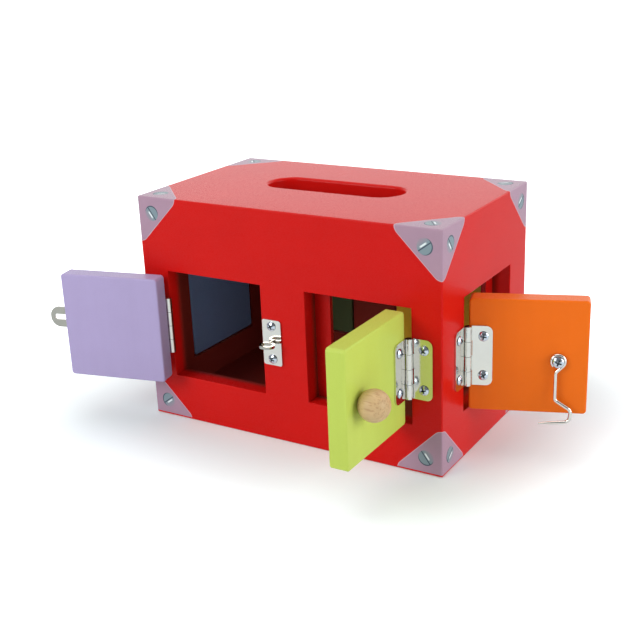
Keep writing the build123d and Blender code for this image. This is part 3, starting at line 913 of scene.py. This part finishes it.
class LOCKBOX_OT_paint_doors(bpy.types.Operator):
    """Paints the six doors"""
    bl_idname = "lockbox.paint_doors"
    bl_label = "Paint doors"

    def execute(self, context):
        for door in DOORS:
            colour = getattr(looks().doors, door)
            dress(f"{door}_door_panel", gloss_finish(f"{door}_gloss", colour, PAINT_GRAIN_Z))
        return {"FINISHED"}


class LOCKBOX_OT_plate_fittings(bpy.types.Operator):
    """Plates the hinges, hasp, staple, hook, bolt and bar"""
    bl_idname = "lockbox.plate_fittings"
    bl_label = "Plate fittings"

    def execute(self, context):
        nickel = plated("bright_nickel", looks().fittings.nickel, roughness=0.06)
        leaves = [f"{door}_{side}_leaf" for door in DOORS for side in ("door", "wall")]
        for node in (*leaves, *PLATED):
            dress(node, nickel)
        steel = plated("dull_steel", looks().fittings.steel, roughness=0.12)
        for node in DULL:
            dress(node, steel)
        return {"FINISHED"}


class LOCKBOX_OT_finish_woodwork(bpy.types.Operator):
    """Varnishes the knob and the turn button"""
    bl_idname = "lockbox.finish_woodwork"
    bl_label = "Finish knob and button"

    def execute(self, context):
        colour = looks().fittings.beech
        dress("door_knob", varnished_beech("knob_beech", colour, BEECH_GRAIN_X))
        dress("turn_button", varnished_beech("button_beech", colour, BEECH_GRAIN_Z))
        return {"FINISHED"}


class LOCKBOX_OT_drive_screws(bpy.types.Operator):
    """Sets a cross-recessed screw at every screw of the frame"""
    bl_idname = "lockbox.drive_screws"
    bl_label = "Drive screws"

    def execute(self, context):
        sizes = looks().fittings
        zinc = plated("bright_zinc", sizes.zinc, roughness=0.12)
        # Zinc darkened to a third, as painted shade in the cross recesses
        shaded_zinc = plated("shaded_zinc", shade(sizes.zinc, factor=0.3), roughness=0.4)
        pattern = screw_pattern(sizes)
        tree, turn_step = screw_tree(pattern, zinc, shaded_zinc)
        for body, nodes in frame["record"]["behaviour"]["bodies"].items():
            screws = sorted(node for node in nodes if node.endswith(("_screw", "_screws")))
            seats = [seat for node in screws for seat in screw_seats(node, sizes)]
            if not seats:
                continue
            data = bpy.data.meshes.new(f"{body}_screw_points")
            data.from_pydata([point for point, _, _ in seats], [], [])
            axes = data.attributes.new("screw_axis", "FLOAT_VECTOR", "POINT")
            axes.data.foreach_set("vector", [value for _, axis, _ in seats for value in axis])
            heads = data.attributes.new("screw_size", "FLOAT", "POINT")
            heads.data.foreach_set("value", [size for _, _, size in seats])
            piece = bpy.data.objects.new(f"{body}_screws", data)
            context.scene.collection.objects.link(piece)
            rows = piece.modifiers.new("screws", "NODES")
            rows.node_group = tree
            rows[turn_step] = sizes.turn_step
            settle(piece)
            smooth_by_angle(piece.data, ACROSS_FACES)
            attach(piece, body)
            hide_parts(*screws)
        bpy.data.objects.remove(pattern)
        return {"FINISHED"}


class LOCKBOX_OT_set_stage(bpy.types.Operator):
    """Makes the floor, the white room, the lamps and the camera"""
    bl_idname = "lockbox.set_stage"
    bl_label = "Set stage"

    def execute(self, context):
        stage = looks().stage
        scene = context.scene
        scene.view_settings.view_transform = "Standard"
        self.lay_floor(scene, stage)
        self.light_room(scene, stage)
        self.hang_lamps(scene, stage)
        self.set_camera(scene, stage)
        return {"FINISHED"}

    def lay_floor(self, scene, stage):
        """A pale floor that brightens to white away from the box and keeps the box's shadow."""
        reach = 30.0
        low = -0.2 * MM
        corners = [(x * reach, y * reach, low) for x, y in ((-1, -1), (1, -1), (1, 1), (-1, 1))]
        data = bpy.data.meshes.new("floor")
        data.from_pydata(corners, [], [(0, 1, 2, 3)])
        floor = bpy.data.objects.new("floor", data)
        scene.collection.objects.link(floor)
        finish = bpy.data.materials.new("pale_floor")
        finish.use_nodes = True
        tree = finish.node_tree
        tree.nodes.clear()
        from_camera, mirrored = ray_kinds(tree)
        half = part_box("bottom_board")[1]
        spot = add(tree, "ShaderNodeSeparateXYZ", {0: place(tree)}).outputs
        past = []
        for axis in range(2):
            outside = calc(tree, "SUBTRACT", calc(tree, "ABSOLUTE", spot[axis]), half[axis])
            past.append(calc(tree, "MAXIMUM", outside, 0.0))
        away = length_of(tree, *past)
        span = (stage.shade_reach, stage.clear_reach)
        glow = ramp(tree, away, *span, stage.near_glow, stage.far_glow, smooth=True)
        seen = calc(tree, "MULTIPLY", from_camera, glow)
        strength = calc(tree, "MULTIPLY_ADD", mirrored, stage.near_glow, seen)
        flat = add(tree, "ShaderNodeBsdfDiffuse", {"Color": (*stage.floor, 1)})
        light = add(tree, "ShaderNodeEmission", {"Strength": strength})
        both = add(tree, "ShaderNodeAddShader", {0: flat.outputs[0], 1: light.outputs[0]})
        out = tree.nodes.new("ShaderNodeOutputMaterial")
        tree.links.new(both.outputs[0], out.inputs[0])
        data.materials.append(finish)

    def light_room(self, scene, stage):
        """White to the camera; in reflections bright behind the box and dim before it."""
        world = bpy.data.worlds.new("white_room")
        scene.world = world
        world.use_nodes = True
        tree = world.node_tree
        dim_limit = -0.1
        bright_limit = 0.75
        bright_way = Vector((-0.25, 0.75, 0.6)).normalized()
        from_camera, mirrored = ray_kinds(tree)
        toward = add(tree, "ShaderNodeTexCoord").outputs["Generated"]
        turn = add(tree, "ShaderNodeVectorMath", {0: toward, 1: bright_way}, operation="DOT_PRODUCT")
        facing = turn.outputs["Value"]
        shown = ramp(tree, facing, dim_limit, bright_limit, stage.dim_room, stage.bright_room, smooth=True)
        strength = between(tree, mirrored, stage.room, shown)
        strength = between(tree, from_camera, strength, 1.0)
        background = tree.nodes["Background"]
        background.inputs["Color"].default_value = (1, 1, 1, 1)
        tree.links.new(strength, background.inputs["Strength"])

    def hang_lamps(self, scene, stage):
        """Four soft lamps, each with its size and place, aimed at the middle of the box."""
        aim = Vector((0, 0, 0.08))
        for name, watts, size, spot in (
            ("overhead_lamp", stage.key, 1.1, (-0.25, -0.15, 1.5)),
            ("front_lamp", stage.fill, 0.9, (-0.7, -1.5, 0.8)),
            ("side_lamp", stage.side, 0.9, (1.5, -0.05, 0.5)),
            ("back_lamp", stage.back, 1.2, (0.9, 1.5, 0.8)),
        ):
            lamp = bpy.data.lights.new(name, "AREA")
            lamp.energy = watts
            lamp.size = size
            holder = bpy.data.objects.new(name, lamp)
            holder.location = spot
            holder.rotation_euler = (aim - Vector(spot)).to_track_quat("-Z", "Y").to_euler()
            scene.collection.objects.link(holder)

    def set_camera(self, scene, stage):
        """The camera, turned about the box and then shifted square to its view."""
        level = math.cos(stage.elevation)
        back = Vector((
            math.sin(stage.azimuth) * level, -math.cos(stage.azimuth) * level, math.sin(stage.elevation),
        ))
        right = Vector((0, 0, 1)).cross(back).normalized()
        up = back.cross(right)
        across = right * math.cos(stage.roll) + up * math.sin(stage.roll)
        upward = up * math.cos(stage.roll) - right * math.sin(stage.roll)
        centre = back * stage.distance - across * stage.shift + upward * stage.lift
        turn = Matrix((across, upward, back)).transposed().to_4x4()
        camera = bpy.data.objects.new("camera", bpy.data.cameras.new("camera"))
        camera.data.lens = stage.lens
        camera.data.sensor_width = SENSOR_WIDTH
        camera.matrix_world = Matrix.Translation(centre) @ turn
        scene.collection.objects.link(camera)
        scene.camera = camera


# Panel and registration

class LOCKBOX_PT_panel(bpy.types.Panel):
    """Lists the steps that dress the lock box"""
    bl_idname = "LOCKBOX_PT_panel"
    bl_label = "Lock Box"
    bl_space_type = "VIEW_3D"
    bl_region_type = "UI"
    bl_category = "Lock Box"

    def draw(self, context):
        for step in STEPS:
            self.layout.operator(step.bl_idname)


STEPS = (
    LOCKBOX_OT_paint_case,
    LOCKBOX_OT_paint_doors,
    LOCKBOX_OT_plate_fittings,
    LOCKBOX_OT_finish_woodwork,
    LOCKBOX_OT_drive_screws,
    LOCKBOX_OT_set_stage,
)
LOOKS = (CaseLooks, PrintLooks, DoorLooks, FittingLooks, StageLooks, LockBoxLooks)
CLASSES = (*LOOKS, *STEPS, LOCKBOX_PT_panel)


def register():
    """Adds the classes, and the looks to the scene."""
    for cls in CLASSES:
        bpy.utils.register_class(cls)
    bpy.types.Scene.lock_box = PointerProperty(type=LockBoxLooks)


def unregister():
    """Takes the looks and the classes away again."""
    del bpy.types.Scene.lock_box
    for cls in reversed(CLASSES):
        bpy.utils.unregister_class(cls)


def main():
    """Dresses the frame step by step."""
    register()
    bpy.ops.lockbox.paint_case()
    bpy.ops.lockbox.paint_doors()
    bpy.ops.lockbox.plate_fittings()
    bpy.ops.lockbox.finish_woodwork()
    bpy.ops.lockbox.drive_screws()
    bpy.ops.lockbox.set_stage()


if __name__ == "__main__":
    main()
